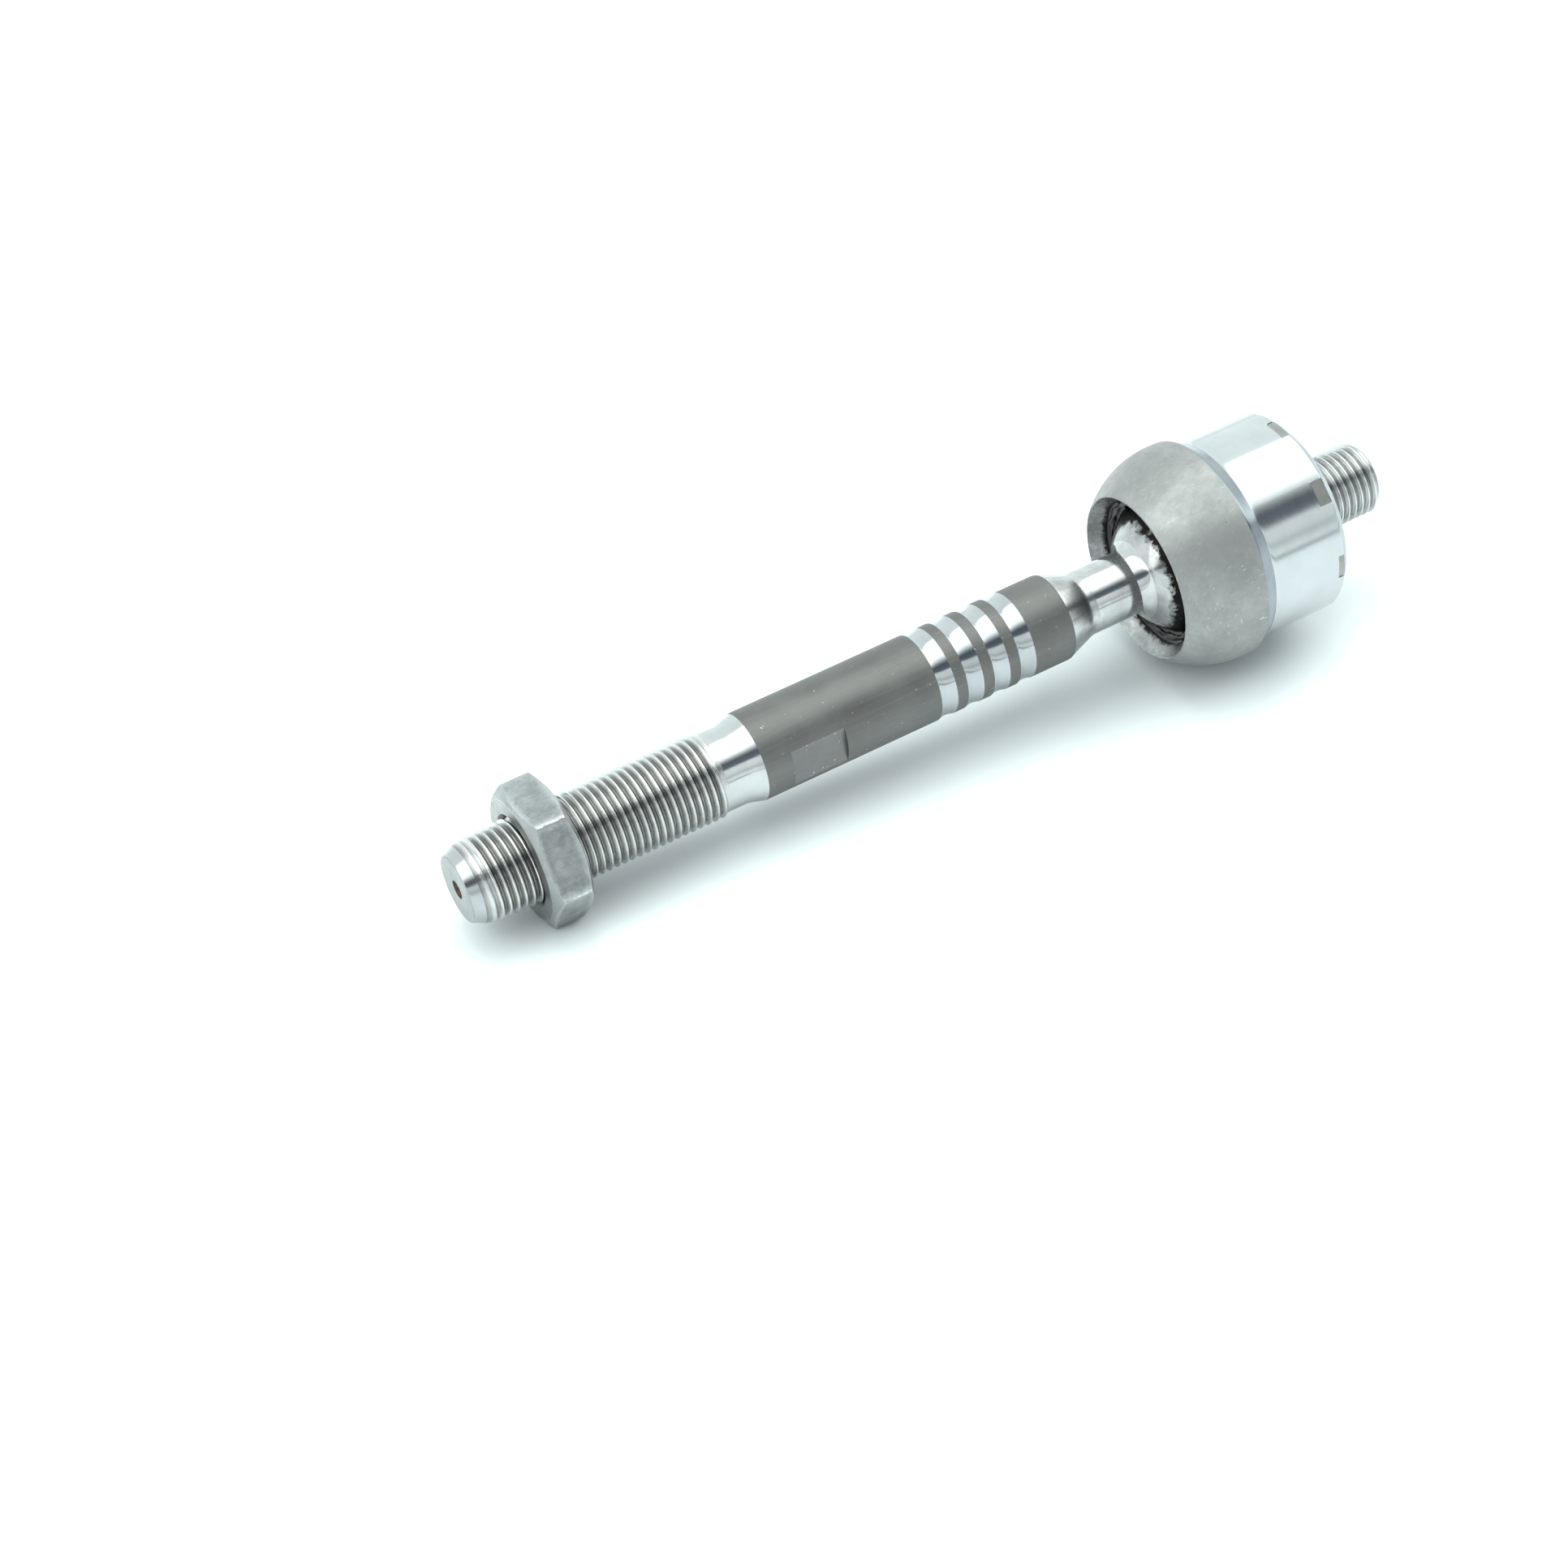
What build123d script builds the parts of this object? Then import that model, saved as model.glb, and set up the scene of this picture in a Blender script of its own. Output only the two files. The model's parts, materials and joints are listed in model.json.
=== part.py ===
from build123d import *

import math
import os

# An axial ball joint, the inner joint of a steering tie rod, with its lock nut.
# X is the common axis of the housing and the rod, +Z is up, and every size is in millimetres.
# The origin is the centre of the housing's shoulder, where the threaded stud leaves it.
# The stud points to -X, and the rod and its free threaded end point to +X.

# threads, each drawn as its major cylinder
stud_thread_diameter = 14.0
stud_length = 16.5
stud_end_chamfer = 1.2
rod_thread_diameter = 16.0
thread_root_depth = 0.55

# ball, bearing shell and the clearances between them
ball_diameter = 29.0
ball_flat_radius = 6.4
running_clearance = 0.05
seat_wall = 2.15
seat_fit_clearance = 0.05
seat_front_angle = 58.5
seat_hole_radius = 11.0
seat_slot_count = 4
seat_slot_width = 1.5
seat_slot_end = 3.0

# disc spring behind the shell
spring_height = 1.8
spring_thickness = 1.2
spring_radial_clearance = 0.7
spring_hole_clearance = 0.2

# grease charge behind the ball, in two layers
grease_ball_gap = 0.5
inner_grease_thickness = 0.8
inner_grease_half_angle = 15.0
grease_layer_gap = 0.3
outer_grease_thickness = 1.0
outer_grease_half_angle = 10.0
grease_floor_gap = 1.7

# socket housing; the stations marked "from the centre" count from the ball's centre
floor_thickness = 3.2
housing_wall = 2.75
housing_rear_chamfer = 1.5
cylinder_end_from_centre = 5.4
collar_from_centre = 2.7
crown_from_centre = 1.0
bulb_wall = 4.35
bulb_arc_radius = 19.0
throat_angle = 56.7
mouth_depth = 2.8
mouth_flare = 1.9
mouth_lip_width = 0.5

# forged pads that the turning tool missed, around the housing's rear edge
pad_count = 8
pad_length = 4.0
pad_width = 4.8
pad_depth = 0.3

# rod, from the ball outwards
neck_diameter = 12.2
neck_fillet_radius = 2.2
neck_taper_radius = 6.0
neck_taper_angle = 20.0
shoulder_from_centre = 30.65
body_diameter = 16.6
body_length = 63.35
groove_count = 4
first_groove_offset = 9.85
groove_pitch = 5.5
groove_width = 3.3
groove_depth = 0.3
spanner_flat_depth = 0.9
spanner_flat_length = 10.8
spanner_flat_offset = 52.75
relief_undercut = 0.55
relief_taper_length = 3.0
relief_length = 4.1
thread_length = 49.7
tip_bevel_length = 3.9
tip_bevel_height = 1.8
centre_hole_radius = 1.7
centre_pilot_radius = 0.8
centre_hole_depth = 4.0

# lock nut
nut_across_flats = 24.0
nut_thickness = 8.0
nut_face_share = 0.95
nut_chamfer_angle = 30.0
nut_thread_clearance = 0.05
nut_countersink = 0.6
nut_from_tip = 12.3

# radii that follow from those above
stud_radius = stud_thread_diameter / 2
thread_radius = rod_thread_diameter / 2
ball_radius = ball_diameter / 2
seat_inner_radius = ball_radius + running_clearance
seat_outer_radius = seat_inner_radius + seat_wall
bore_radius = seat_outer_radius + seat_fit_clearance
inner_grease_radius = ball_radius + grease_ball_gap
outer_grease_radius = inner_grease_radius + inner_grease_thickness + grease_layer_gap
housing_radius = bore_radius + housing_wall
bulb_radius = bore_radius + bulb_wall
neck_radius = neck_diameter / 2
body_radius = body_diameter / 2
relief_radius = thread_radius - relief_undercut
spring_hole_radius = seat_hole_radius + spring_hole_clearance

# stations along the axis that follow from those above
floor_x = floor_thickness
seat_rear_x = floor_x + spring_height
reservoir_depth = outer_grease_radius + outer_grease_thickness + grease_floor_gap
ball_centre_x = floor_x + reservoir_depth
throat_x = ball_centre_x + bore_radius * math.cos(math.radians(throat_angle))
mouth_x = throat_x + mouth_depth
body_start_x = ball_centre_x + shoulder_from_centre
body_end_x = body_start_x + body_length
relief_start_x = body_end_x + relief_taper_length
thread_start_x = relief_start_x + relief_length
tip_x = thread_start_x + thread_length
nut_front_x = tip_x - nut_from_tip
nut_rear_x = nut_front_x - nut_thickness


def round_off(distance, radius):
    """Height of a circle above its diameter, at a distance from its centre."""
    return math.sqrt(radius**2 - distance**2)


def arc_on_axis(radius, from_x, to_x, centre_x=ball_centre_x, centre_height=0.0):
    """Arc of a circle between two places along the axis."""
    middle_x = (from_x + to_x) / 2
    heights = [
        centre_height + round_off(x - centre_x, radius)
        for x in (from_x, middle_x, to_x)
    ]
    return ThreePointArc(
        (from_x, heights[0]), (middle_x, heights[1]), (to_x, heights[2])
    )


def turned(edges):
    """Solid of revolution about the X axis, from a closed outline."""
    return revolve(make_face(edges), Axis.X, 360)


def line_through(*points):
    """Straight stretches of an outline."""
    return Polyline(*points).edges()


def socket_housing():
    """Housing with its swaged mouth and its threaded stud, in one piece."""
    crown_x = ball_centre_x - crown_from_centre
    collar_x = ball_centre_x - collar_from_centre
    bulb_base = bulb_radius - bulb_arc_radius
    collar_radius = bulb_base + round_off(collar_x - crown_x, bulb_arc_radius)
    lip_x = mouth_x - mouth_lip_width
    lip_radius = bulb_base + round_off(lip_x - crown_x, bulb_arc_radius)
    throat_radius = bore_radius * math.sin(math.radians(throat_angle))
    outside = line_through(
        (floor_x, 0),
        (-stud_length, 0),
        (-stud_length, stud_radius - stud_end_chamfer),
        (-stud_length + stud_end_chamfer, stud_radius),
        (0, stud_radius),
        (0, housing_radius - housing_rear_chamfer),
        (housing_rear_chamfer, housing_radius),
        (ball_centre_x - cylinder_end_from_centre, housing_radius),
        (collar_x, collar_radius),
    )
    bulb = arc_on_axis(bulb_arc_radius, collar_x, lip_x, crown_x, bulb_base)
    lip = line_through(
        (lip_x, lip_radius),
        (mouth_x, throat_radius + mouth_flare),
        (throat_x, throat_radius),
    )
    wrap = arc_on_axis(bore_radius, throat_x, ball_centre_x)
    inside = line_through(
        (ball_centre_x, bore_radius),
        (floor_x, bore_radius),
        (floor_x, 0),
    )
    housing = turned([*outside, bulb, *lip, wrap, *inside])
    pad = Box(2 * pad_length, pad_width, 2 * pad_depth)
    for number in range(pad_count):
        place = Pos(0, 0, housing_radius) * pad
        housing -= Rot(X=360 / pad_count * number) * place
    return housing


def ball_seat():
    """Slotted bearing shell around the ball, open behind as the grease reservoir."""
    front_angle = math.radians(seat_front_angle)
    front_inner_x = ball_centre_x + seat_inner_radius * math.cos(front_angle)
    front_outer_x = ball_centre_x + seat_outer_radius * math.cos(front_angle)
    hole_x = ball_centre_x - round_off(seat_hole_radius, seat_inner_radius)
    inner = arc_on_axis(seat_inner_radius, hole_x, front_inner_x)
    front = line_through(
        (front_inner_x, seat_inner_radius * math.sin(front_angle)),
        (front_outer_x, seat_outer_radius * math.sin(front_angle)),
    )
    outer = arc_on_axis(seat_outer_radius, front_outer_x, ball_centre_x)
    back = line_through(
        (ball_centre_x, seat_outer_radius),
        (seat_rear_x, seat_outer_radius),
        (seat_rear_x, seat_hole_radius),
        (hole_x, seat_hole_radius),
    )
    seat = turned([inner, *front, outer, *back])
    slot_end_x = ball_centre_x - seat_slot_end
    slot_length = front_outer_x - slot_end_x
    slot = Box(
        slot_length,
        seat_slot_width,
        2 * seat_outer_radius,
        align=(Align.MIN, Align.CENTER, Align.MIN),
    )
    for number in range(seat_slot_count):
        turn = Rot(X=360 / seat_slot_count * (number + 0.5))
        seat -= turn * Pos(slot_end_x, 0, 0) * slot
    return seat


def preload_disc_spring():
    """Conical disc spring that stands on the floor and presses the shell forward."""
    rise = spring_height - spring_thickness
    rim_radius = bore_radius - spring_radial_clearance
    return turned(
        line_through(
            (floor_x, rim_radius),
            (floor_x + spring_thickness, rim_radius),
            (seat_rear_x, spring_hole_radius),
            (floor_x + rise, spring_hole_radius),
            (floor_x, rim_radius),
        )
    )


def grease_cap(inner_radius, thickness, half_angle):
    """Part of a spherical layer behind the ball, centred on the ball's centre."""
    outer_radius = inner_radius + thickness
    edge = math.radians(half_angle)

    def behind(radius, angle):
        return (
            ball_centre_x - radius * math.cos(angle),
            radius * math.sin(angle),
        )

    near = ThreePointArc(
        behind(inner_radius, 0), behind(inner_radius, edge / 2), behind(inner_radius, edge)
    )
    far = ThreePointArc(
        behind(outer_radius, edge), behind(outer_radius, edge / 2), behind(outer_radius, 0)
    )
    side = Line(behind(inner_radius, edge), behind(outer_radius, edge))
    axis = Line(behind(outer_radius, 0), behind(inner_radius, 0))
    return turned([near, side, far, axis])


def ball_stud_rod():
    """Ball, neck and threaded rod, in one piece."""
    flat_x = ball_centre_x - round_off(ball_flat_radius, ball_radius)
    neck_start_x = ball_centre_x + round_off(neck_radius, ball_radius)
    slope = math.radians(neck_taper_angle)
    hollow_rise = neck_taper_radius * (1 - math.cos(slope))
    cone_rise = body_radius - neck_radius - hollow_rise
    cone_start_x = body_start_x - cone_rise / math.tan(slope)
    neck_end_x = cone_start_x - neck_taper_radius * math.sin(slope)
    ball = [
        Line((flat_x, 0), (flat_x, ball_flat_radius)),
        arc_on_axis(ball_radius, flat_x, neck_start_x),
    ]
    neck = Line((neck_start_x, neck_radius), (neck_end_x, neck_radius))
    hollow = ThreePointArc(
        (neck_end_x, neck_radius),
        (
            neck_end_x + neck_taper_radius * math.sin(slope / 2),
            neck_radius + neck_taper_radius * (1 - math.cos(slope / 2)),
        ),
        (cone_start_x, neck_radius + hollow_rise),
    )
    rest = line_through(
        (cone_start_x, neck_radius + hollow_rise),
        (body_start_x, body_radius),
        (body_end_x, body_radius),
        (relief_start_x, relief_radius),
        (thread_start_x, relief_radius),
        (thread_start_x + relief_undercut, thread_radius),
        (tip_x - tip_bevel_length, thread_radius),
        (tip_x, thread_radius - tip_bevel_height),
        (tip_x, 0),
        (flat_x, 0),
    )
    outline = make_face([*ball, neck, hollow, *rest])
    meeting = outline.vertices().sort_by_distance((neck_start_x, neck_radius))[0]
    rod = revolve(fillet(meeting, neck_fillet_radius), Axis.X, 360)
    rod -= boot_grooves()
    rod -= spanner_flats()
    rod -= thread_root_ring()
    rod -= centre_hole()
    return rod


def boot_grooves():
    """Rounded grooves that hold the bellows, spaced evenly along the body."""
    half_width = groove_width / 2
    radius = (half_width**2 + groove_depth**2) / (2 * groove_depth)
    ring_radius = body_radius - groove_depth + radius
    ring = Torus(ring_radius, radius)
    rings = []
    for number in range(groove_count):
        place = body_start_x + first_groove_offset + groove_pitch * number
        rings.append(Pos(place, 0, 0) * Rot(Y=90) * ring)
    return rings


def spanner_flats():
    """The two blocks to cut away from the body's sides."""
    block = Box(
        spanner_flat_length,
        body_diameter,
        2 * body_diameter,
        align=(Align.CENTER, Align.MIN, Align.CENTER),
    )
    middle_x = body_start_x + spanner_flat_offset
    one = Pos(middle_x, body_radius - spanner_flat_depth, 0) * block
    return [one, Rot(X=180) * one]


def thread_root_ring():
    """One turn of the thread's root, just inside the nut, where the free thread begins."""
    half_opening = thread_root_depth * math.tan(math.radians(30))
    top_radius = thread_radius + thread_root_depth
    half_top = 2 * half_opening
    root_x = nut_front_x - half_opening
    return turned(
        line_through(
            (root_x, thread_radius - thread_root_depth),
            (root_x + half_top, top_radius),
            (root_x - half_top, top_radius),
            (root_x, thread_radius - thread_root_depth),
        )
    )


def centre_hole():
    """Lathe centre in the rod's end, a 60 degree countersink with a pilot hole."""
    sink_depth = (centre_hole_radius - centre_pilot_radius) / math.tan(math.radians(30))
    return turned(
        line_through(
            (tip_x, 0),
            (tip_x, centre_hole_radius),
            (tip_x - sink_depth, centre_pilot_radius),
            (tip_x - centre_hole_depth, centre_pilot_radius),
            (tip_x - centre_hole_depth, 0),
            (tip_x, 0),
        )
    )


def lock_nut():
    """Thin hexagon nut, chamfered on both faces, with a flat facing down."""
    corner_radius = nut_across_flats / 2 / math.cos(math.radians(30))
    face_radius = nut_across_flats / 2 * nut_face_share
    slope = math.tan(math.radians(nut_chamfer_angle))
    chamfer_depth = (corner_radius - face_radius) * slope
    bore = thread_radius + nut_thread_clearance
    hexagon = Plane.YZ * RegularPolygon(corner_radius, 6)
    block = Pos(nut_rear_x, 0, 0) * extrude(hexagon, nut_thickness)
    envelope = turned(
        line_through(
            (nut_rear_x, bore + nut_countersink),
            (nut_rear_x, face_radius),
            (nut_rear_x + chamfer_depth, corner_radius),
            (nut_front_x - chamfer_depth, corner_radius),
            (nut_front_x, face_radius),
            (nut_front_x, bore + nut_countersink),
            (nut_front_x - nut_countersink, bore),
            (nut_rear_x + nut_countersink, bore),
            (nut_rear_x, bore + nut_countersink),
        )
    )
    return block & envelope


nodes = {
    "socket_housing": socket_housing(),
    "ball_seat": ball_seat(),
    "preload_disc_spring": preload_disc_spring(),
    "grease_charge_inner": grease_cap(
        inner_grease_radius, inner_grease_thickness, inner_grease_half_angle
    ),
    "grease_charge_outer": grease_cap(
        outer_grease_radius, outer_grease_thickness, outer_grease_half_angle
    ),
    "ball_stud_rod": ball_stud_rod(),
    "lock_nut": lock_nut(),
}

os.makedirs("parts", exist_ok=True)
for name, shape in nodes.items():
    export_step(shape, f"parts/{name}.step")
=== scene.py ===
import json
import math

import bpy
import numpy as np
from mathutils import Matrix, Vector


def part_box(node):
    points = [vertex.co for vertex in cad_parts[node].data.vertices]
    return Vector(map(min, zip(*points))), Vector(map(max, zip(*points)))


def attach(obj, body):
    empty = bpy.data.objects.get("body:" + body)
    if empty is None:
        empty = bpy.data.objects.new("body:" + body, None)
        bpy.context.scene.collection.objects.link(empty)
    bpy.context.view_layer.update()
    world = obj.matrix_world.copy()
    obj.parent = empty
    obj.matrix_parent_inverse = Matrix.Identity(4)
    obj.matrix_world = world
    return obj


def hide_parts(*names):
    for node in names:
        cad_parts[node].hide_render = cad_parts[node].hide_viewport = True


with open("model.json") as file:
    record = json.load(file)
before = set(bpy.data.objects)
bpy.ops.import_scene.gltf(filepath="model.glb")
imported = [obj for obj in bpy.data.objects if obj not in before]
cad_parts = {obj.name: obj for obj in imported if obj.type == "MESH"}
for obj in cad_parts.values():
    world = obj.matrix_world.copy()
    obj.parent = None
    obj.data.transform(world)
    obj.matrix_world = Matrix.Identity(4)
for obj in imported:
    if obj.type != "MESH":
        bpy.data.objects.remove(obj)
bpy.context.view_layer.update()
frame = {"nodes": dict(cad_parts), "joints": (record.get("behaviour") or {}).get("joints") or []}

# Lengths in this script are millimetres in the CAD frame until a mesh, light or camera is made.
# X is the common axis of housing and rod, and the rod's tip points to +X.
MM = 0.001
COLUMNS = 128
PITCH = 1.5
THREAD_ROWS = 14
THREAD_DEPTH = 0.92
CREST_HALF, FLANK_WIDTH, LAP_WIDTH = 0.05, 0.37, 0.035  # shares of the pitch
SHARP_ANGLE = 32  # degrees


def box_mm(node):
    """Lowest and highest corner of a CAD node, in millimetres."""
    low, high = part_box(node)
    return low / MM, high / MM


rod_low, rod_high = box_mm("ball_stud_rod")
housing_low, housing_high = box_mm("socket_housing")
nut_low, nut_high = box_mm("lock_nut")
joints = {joint["name"]: joint for joint in frame["joints"]}

BALL_RADIUS = -rod_low.z
BALL_X = joints["ball_pitch"]["pos_m"][0] / MM
TIP_X = rod_high.x
MOUTH_X = housing_high.x
BULB_RADIUS = housing_high.z
STUD_END_X = housing_low.x


def smooth(value):
    """Eases from 0 to 1 as value goes from 0 to 1, and stays level outside."""
    value = np.clip(value, 0, 1)
    return value * value * (3 - 2 * value)


# ---------------------------------------------------------------- meshes


def turn_angles(extra=()):
    """Angles of a full turn, in even columns and at each extra angle, which is in degrees."""
    even = np.linspace(0, 2 * math.pi, COLUMNS, endpoint=False)
    more = np.array([math.radians(a) % (2 * math.pi) for a in extra])
    return np.unique(np.round(np.concatenate([even, more]), 6))


def lathe(name, rows, angles, closed=False, plain_between=()):
    """Mesh turned about X. A row is (x, radius, material), numbers or arrays over the angles.
    Stretches in plain_between, along x, stay free of sharp edges."""
    count = len(angles)
    points, starts, sizes = [], [], []
    for x, radius, _ in rows:
        starts.append(len(points))
        if np.isscalar(radius) and radius == 0:
            sizes.append(1)
            points.append((x, 0, 0))
            continue
        sizes.append(count)
        xs = np.broadcast_to(x, count)
        radii = np.broadcast_to(radius, count)
        points.extend(zip(xs, radii * np.cos(angles), radii * np.sin(angles)))
    faces, indices = [], []
    pairs = [(i, i + 1) for i in range(len(rows) - 1)]
    if closed:
        pairs.append((len(rows) - 1, 0))
    for a, b in pairs:
        for j in range(count):
            k = (j + 1) % count
            face = [starts[a] + (j if sizes[a] > 1 else 0)]
            if sizes[a] > 1:
                face.append(starts[a] + k)
            face.append(starts[b] + (k if sizes[b] > 1 else 0))
            if sizes[b] > 1:
                face.append(starts[b] + j)
            faces.append(face)
            indices.append(rows[a][2])
    mesh = bpy.data.meshes.new(name)
    mesh.from_pydata([(x * MM, y * MM, z * MM) for x, y, z in points], [], faces)
    mesh.polygons.foreach_set("material_index", indices)
    mesh.polygons.foreach_set("use_smooth", [True] * len(faces))
    mesh.update()
    mesh.set_sharp_from_angle(angle=math.radians(SHARP_ANGLE))
    sharp = mesh.attributes.get("sharp_edge")
    if sharp and plain_between:
        for edge in mesh.edges:
            x = mesh.vertices[edge.vertices[0]].co.x / MM
            if any(low < x < high for low, high in plain_between):
                sharp.data[edge.index].value = False
    piece = bpy.data.objects.new(name, mesh)
    bpy.context.scene.collection.objects.link(piece)
    return piece


def stretch(x0, r0, x1, r1, steps, material):
    """Straight rows from one place to another, the last place left out."""
    return [
        (x0 + (x1 - x0) * i / steps, r0 + (r1 - r0) * i / steps, material)
        for i in range(steps)
    ]


def arc(cx, cr, radius, start, end, steps, material):
    """Rows on a circle about (cx, cr), angles in degrees from +X towards outside, end left out."""
    rows = []
    for i in range(steps):
        a = math.radians(start + (end - start) * i / steps)
        rows.append((cx + radius * math.cos(a), cr + radius * math.sin(a), material))
    return rows


def thread_rows(x0, x1, crest, depth, angles, material):
    """Right-hand thread: crest(x) is the crest's radius and depth(x) how deep the root is.
    Each crest has the shallow lap that thread rolling leaves."""
    steps = round((x1 - x0) / PITCH * THREAD_ROWS)
    turn = angles / (2 * math.pi)
    rows = []
    for i in range(steps):
        x = x0 + (x1 - x0) * i / steps
        away = np.abs((x / PITCH - turn + 0.5) % 1 - 0.5)
        flank = (away - CREST_HALF) / FLANK_WIDTH
        groove = smooth(flank) * 0.55 + np.clip(flank, 0, 1) * 0.45
        lap = 0.05 * np.exp(-((away / LAP_WIDTH) ** 2))
        rows.append((x, crest(x) - depth(x) * (groove + lap), material))
    return rows


# ---------------------------------------------------------------- rod

(BALL, NECK, BODY, GROOVE, RELIEF, THREAD, BEVEL, FACE, HOLE, FLAT, TAPER) = range(11)
BALL_FLAT_RADIUS = 6.4
NECK_RADIUS = 6.1
FILLET_RADIUS = 3.1
TAPER_RADIUS = 6.0
TAPER_ANGLE = 20.0
BODY_RADIUS = 8.3
BODY_START = BALL_X + 30.65
BODY_END = BODY_START + 63.35
BODY_EDGE = 0.3
GROOVES = [BODY_START + 9.85 + 5.5 * i for i in range(4)]
GROOVE_HALF = 1.65
GROOVE_DEPTH = 0.3
GROOVE_ARC = 4.69
GROOVE_STEPS = 14
FLAT_MIDDLE = BODY_START + 52.75
FLAT_HALF = 5.4
FLAT_FROM_AXIS = 7.4
RELIEF_RADIUS = 7.45
THREAD_RADIUS = 8.0
THREAD_START = TIP_X - 49.7
BEVEL_LENGTH = 3.9
BEVEL_DROP = 1.8
BEVEL_START = TIP_X - BEVEL_LENGTH
PLAIN_BEVEL_LENGTH = 2.0
HOLE_RADIUS = 1.75
PILOT_RADIUS = 0.8
HOLE_DEPTH = 4.0


def body_row(x, angles, material):
    """Row of the body, with its bellows grooves and its two spanner flats."""
    radius = BODY_RADIUS
    for middle in GROOVES:
        away = abs(x - middle)
        if away < GROOVE_HALF:
            rise = GROOVE_ARC - math.sqrt(GROOVE_ARC**2 - away**2)
            radius = BODY_RADIUS - GROOVE_DEPTH + rise
    radii = np.full(len(angles), radius)
    if abs(x - FLAT_MIDDLE) < FLAT_HALF:
        flat = FLAT_FROM_AXIS / np.maximum(np.abs(np.cos(angles)), 0.1)
        radii = np.minimum(radii, flat)
    return (x, radii, material)


def ball_and_neck_rows():
    """Ball with its rear flat, fillet, neck, hollow arc, cone and the body's rounded edge."""
    rear = BALL_X - math.sqrt(BALL_RADIUS**2 - BALL_FLAT_RADIUS**2)
    rows = [(rear, radius, BALL) for radius in (0, BALL_FLAT_RADIUS / 2, BALL_FLAT_RADIUS - 0.15)]
    fillet_from_axis = NECK_RADIUS + FILLET_RADIUS
    fillet_x = BALL_X + math.sqrt((BALL_RADIUS + FILLET_RADIUS) ** 2 - fillet_from_axis**2)
    front = math.degrees(math.atan2(fillet_from_axis, fillet_x - BALL_X))
    start = 180 - math.degrees(math.asin(BALL_FLAT_RADIUS / BALL_RADIUS))
    rows += arc(BALL_X, 0, BALL_RADIUS, start, front, 60, BALL)
    rows += arc(fillet_x, fillet_from_axis, FILLET_RADIUS, 180 + front, 270, 14, NECK)
    slope = math.radians(TAPER_ANGLE)
    hollow_rise = TAPER_RADIUS * (1 - math.cos(slope))
    cone_start = BODY_START - (BODY_RADIUS - NECK_RADIUS - hollow_rise) / math.tan(slope)
    neck_end = cone_start - TAPER_RADIUS * math.sin(slope)
    rows += stretch(fillet_x, NECK_RADIUS, neck_end, NECK_RADIUS, 12, NECK)
    rows += arc(neck_end, NECK_RADIUS + TAPER_RADIUS, TAPER_RADIUS, 270, 270 + TAPER_ANGLE, 8, TAPER)
    edge_x, edge_radius = BODY_START - BODY_EDGE, BODY_RADIUS - BODY_EDGE * math.tan(slope)
    rows += stretch(cone_start, NECK_RADIUS + hollow_rise, edge_x, edge_radius, 10, TAPER)
    rows.append((edge_x, edge_radius, BODY))
    rows.append((BODY_START - 0.1, BODY_RADIUS - 0.045, BODY))
    rows.append((BODY_START + 0.12, BODY_RADIUS - 0.008, BODY))
    return rows


def body_rows(angles):
    """Body from its rounded edge to its front end, with rows at each groove and flat."""
    stations = {round(BODY_START + 0.35, 4): BODY, round(BODY_END - 0.05, 4): BODY}
    for x in np.arange(BODY_START + 1, BODY_END - 0.5, 1.0):
        if not any(abs(x - middle) < GROOVE_HALF + 0.15 for middle in GROOVES):
            stations[round(float(x), 4)] = BODY
    for middle in GROOVES:
        for i in range(GROOVE_STEPS + 1):
            x = middle - GROOVE_HALF + 2 * GROOVE_HALF * i / GROOVE_STEPS
            stations[round(x, 4)] = GROOVE if i < GROOVE_STEPS else BODY
    for side in (-FLAT_HALF, FLAT_HALF):
        for shift in (-0.012, 0.012):
            stations[round(FLAT_MIDDLE + side + shift, 4)] = BODY
    rows = []
    for x in sorted(stations):
        material = stations[x]
        if abs(x + 0.02 - FLAT_MIDDLE) < FLAT_HALF:
            material = FLAT
        rows.append(body_row(x, angles, material))
    return rows


def relief_rows():
    """Tapered relief between the body and the thread."""
    rows = [(BODY_END + 0.1, BODY_RADIUS - 0.06, RELIEF)]
    rows += stretch(BODY_END + 0.3, 8.215, BODY_END + 2.8, 7.5, 10, RELIEF)
    rows.append((BODY_END + 3.2, RELIEF_RADIUS + 0.002, RELIEF))
    rows += stretch(BODY_END + 3.5, RELIEF_RADIUS, THREAD_START, RELIEF_RADIUS, 12, RELIEF)
    return rows


def tip_rows(bevel_x, bevel_radius, tip_radius):
    """Smooth bevel, end face and centre hole."""
    rim = tip_radius + 0.055
    rows = stretch(bevel_x, bevel_radius, TIP_X - 0.12, rim, 10, BEVEL)
    rows.append((TIP_X - 0.12, rim, FACE))
    rows += stretch(TIP_X, tip_radius - 0.1, TIP_X, HOLE_RADIUS + 0.1, 8, FACE)
    rows.append((TIP_X - 0.02, HOLE_RADIUS, HOLE))
    rows.append((TIP_X - 0.12, HOLE_RADIUS - 0.09, HOLE))
    rows.append((TIP_X - 1.5, PILOT_RADIUS + 0.05, HOLE))
    rows.append((TIP_X - 1.62, PILOT_RADIUS, HOLE))
    rows.append((TIP_X - HOLE_DEPTH + 0.3, PILOT_RADIUS, HOLE))
    rows.append((TIP_X - HOLE_DEPTH, 0, HOLE))
    return rows


def rod_crest(x):
    """Radius of the rod thread's crest: it rises out of the relief and ends in the bevel."""
    cone = THREAD_RADIUS - (x - BEVEL_START) * BEVEL_DROP / BEVEL_LENGTH
    runout = smooth((x - THREAD_START) / PITCH)
    return min(RELIEF_RADIUS + (THREAD_RADIUS - RELIEF_RADIUS) * runout, cone)


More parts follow.
